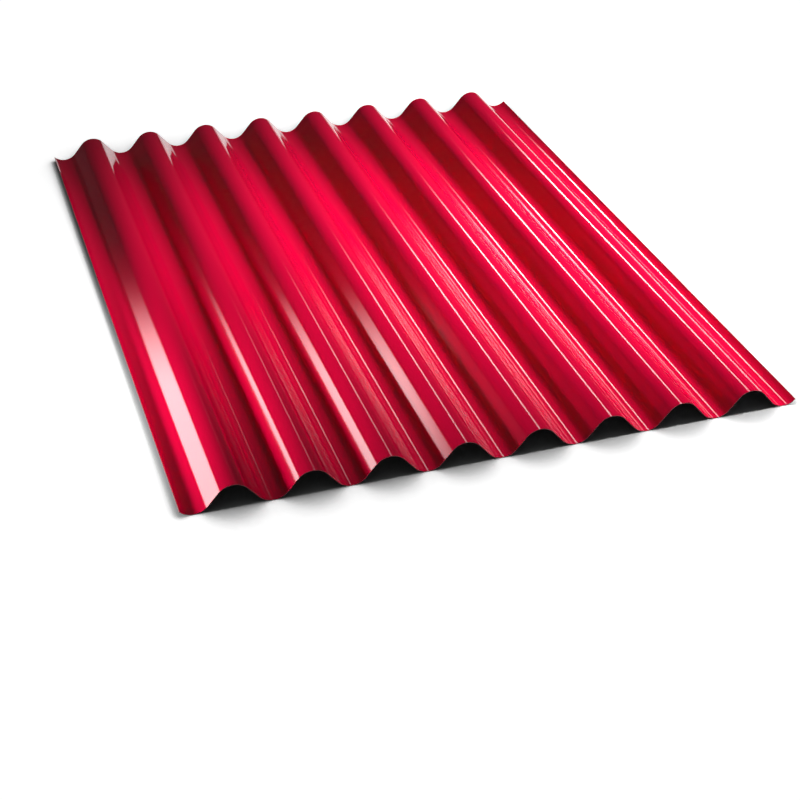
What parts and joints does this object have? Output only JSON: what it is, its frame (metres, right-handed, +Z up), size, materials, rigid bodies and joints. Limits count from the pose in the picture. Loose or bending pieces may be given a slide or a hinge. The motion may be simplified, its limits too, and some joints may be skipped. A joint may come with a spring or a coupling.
{
  "type": "corrugated metal sheet",
  "caption": "Plain roll-formed metal sheet with even round corrugations and up-turned side laps, glossy red coating, for roofing and cladding.",
  "frame": {"origin": "on the floor under the middle of the sheet, at the underside of its troughs", "axes": "+X across the waves, +Y along the ridges, +Z up, towards the coated weather side"},
  "size_m": [0.5654, 0.74, 0.0228],
  "materials": {
    "coated_sheet": "glossy crimson polyester coil coating on galvanised steel, dark grey epoxy backing coat below"
  },
  "bodies": {
    "root": {"corrugated_sheet": "coated_sheet"}
  },
  "joints": []
}
